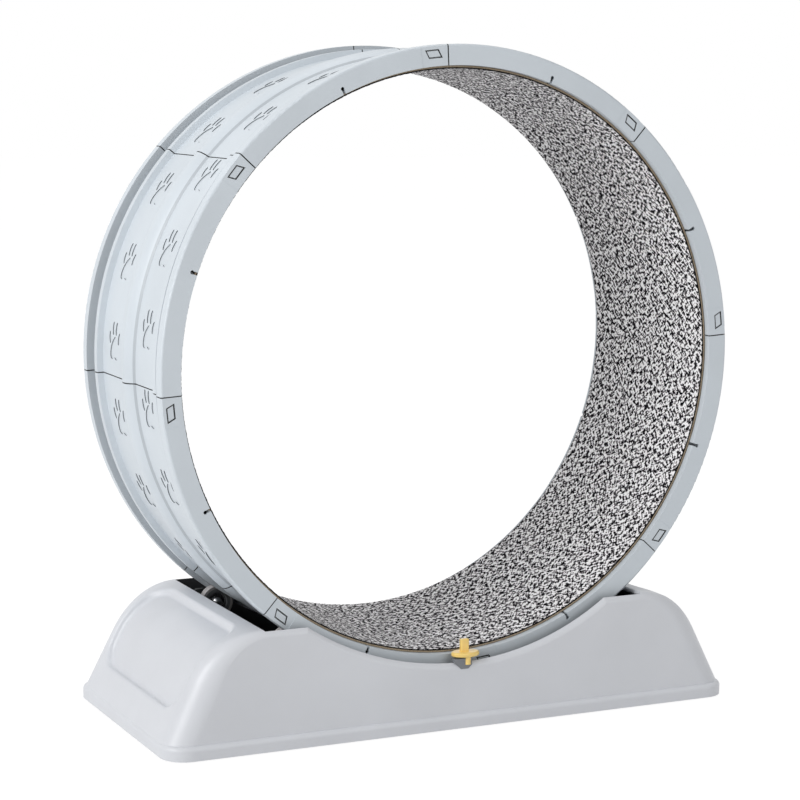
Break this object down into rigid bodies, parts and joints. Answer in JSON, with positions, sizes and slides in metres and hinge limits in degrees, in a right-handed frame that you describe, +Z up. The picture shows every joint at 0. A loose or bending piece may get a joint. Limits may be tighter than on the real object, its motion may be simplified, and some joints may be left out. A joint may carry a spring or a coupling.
{
  "type": "cat exercise wheel",
  "caption": "Free-standing running wheel for a cat: a segmented plastic ring lined with carpet, turning on rollers in a moulded base, with a lock key.",
  "frame": {"origin": "on the floor, under the middle of the base", "axes": "+Z up, the ring's height is the longest extent; +Y across the ring's width, from the front with the lock key to the back, the shortest extent; +X along the base, to the right seen from the front"},
  "size_m": [0.803, 0.357, 0.866],
  "materials": {
    "ring_plastic": "fine satin moulded polypropylene",
    "base_plastic": "satin moulded polypropylene",
    "cover_plastic": "plain moulded plastic",
    "bracket_plastic": "glass-filled nylon",
    "carpet_pile": "dark and light grey melange loop pile",
    "backing_felt": "tan felt backing",
    "roller_rubber": "soft grey thermoplastic rubber",
    "hub_nylon": "grey nylon",
    "bearing_steel": "ground steel",
    "zinc_steel": "zinc plated steel",
    "foot_rubber": "black rubber",
    "key_plastic": "yellow moulded plastic",
    "socket_plastic": "grey moulded plastic"
  },
  "bodies": {
    "base": {"axle_bolt_back_left": "zinc_steel", "axle_bolt_back_right": "zinc_steel", "axle_bolt_front_left": "zinc_steel", "axle_bolt_front_right": "zinc_steel", "axle_nuts": "zinc_steel", "axle_spacers": "zinc_steel", "axle_washers": "zinc_steel", "base_shell": "base_plastic", "bearing_inner_races": "bearing_steel", "bottom_cover": "cover_plastic", "bracket_screws": "zinc_steel", "cover_screws": "zinc_steel", "lock_socket": "socket_plastic", "roller_bracket_back_left": "bracket_plastic", "roller_bracket_back_right": "bracket_plastic", "roller_bracket_front_left": "bracket_plastic", "roller_bracket_front_right": "bracket_plastic", "rubber_foot_back_left": "foot_rubber", "rubber_foot_back_right": "foot_rubber", "rubber_foot_front_left": "foot_rubber", "rubber_foot_front_right": "foot_rubber"},
    "wheel": {"carpet_backing": "backing_felt", "carpet_pile": "carpet_pile", "ring_segment_1": "ring_plastic", "ring_segment_2": "ring_plastic", "ring_segment_3": "ring_plastic", "ring_segment_4": "ring_plastic", "ring_segment_5": "ring_plastic", "ring_segment_6": "ring_plastic", "ring_segment_7": "ring_plastic", "ring_segment_8": "ring_plastic"},
    "roller_front_left": {"roller_tyre_front_left": "roller_rubber", "roller_hub_front_left": "hub_nylon", "bearing_outer_front_left": "bearing_steel"},
    "roller_front_right": {"roller_tyre_front_right": "roller_rubber", "roller_hub_front_right": "hub_nylon", "bearing_outer_front_right": "bearing_steel"},
    "roller_back_left": {"roller_tyre_back_left": "roller_rubber", "roller_hub_back_left": "hub_nylon", "bearing_outer_back_left": "bearing_steel"},
    "roller_back_right": {"roller_tyre_back_right": "roller_rubber", "roller_hub_back_right": "hub_nylon", "bearing_outer_back_right": "bearing_steel"},
    "key": {"lock_key": "key_plastic"}
  },
  "joints": [
    {"name": "wheel_spin", "type": "hinge", "parent": "base", "child": "wheel", "pos_m": [0, 0, 0.466], "axis": [0, 1, 0], "continuous": true},
    {"name": "roller_spin_front_left", "type": "hinge", "parent": "base", "child": "roller_front_left", "pos_m": [-0.22319, -0.1244, 0.12231], "axis": [0, 1, 0], "continuous": true},
    {"name": "roller_spin_front_right", "type": "hinge", "parent": "base", "child": "roller_front_right", "pos_m": [0.22319, -0.1244, 0.12231], "axis": [0, 1, 0], "continuous": true},
    {"name": "roller_spin_back_left", "type": "hinge", "parent": "base", "child": "roller_back_left", "pos_m": [-0.22319, 0.1244, 0.12231], "axis": [0, 1, 0], "continuous": true},
    {"name": "roller_spin_back_right", "type": "hinge", "parent": "base", "child": "roller_back_right", "pos_m": [0.22319, 0.1244, 0.12231], "axis": [0, 1, 0], "continuous": true},
    {"name": "lock_key_lift", "type": "slide", "parent": "base", "child": "key", "axis": [0, 0, 1], "range_m": [0, 0.03]}
  ],
  "couplings": [
    {"joint": "roller_spin_front_left", "follows": "wheel_spin", "ratio": -17.2},
    {"joint": "roller_spin_front_right", "follows": "wheel_spin", "ratio": -17.2},
    {"joint": "roller_spin_back_left", "follows": "wheel_spin", "ratio": -17.2},
    {"joint": "roller_spin_back_right", "follows": "wheel_spin", "ratio": -17.2}
  ]
}
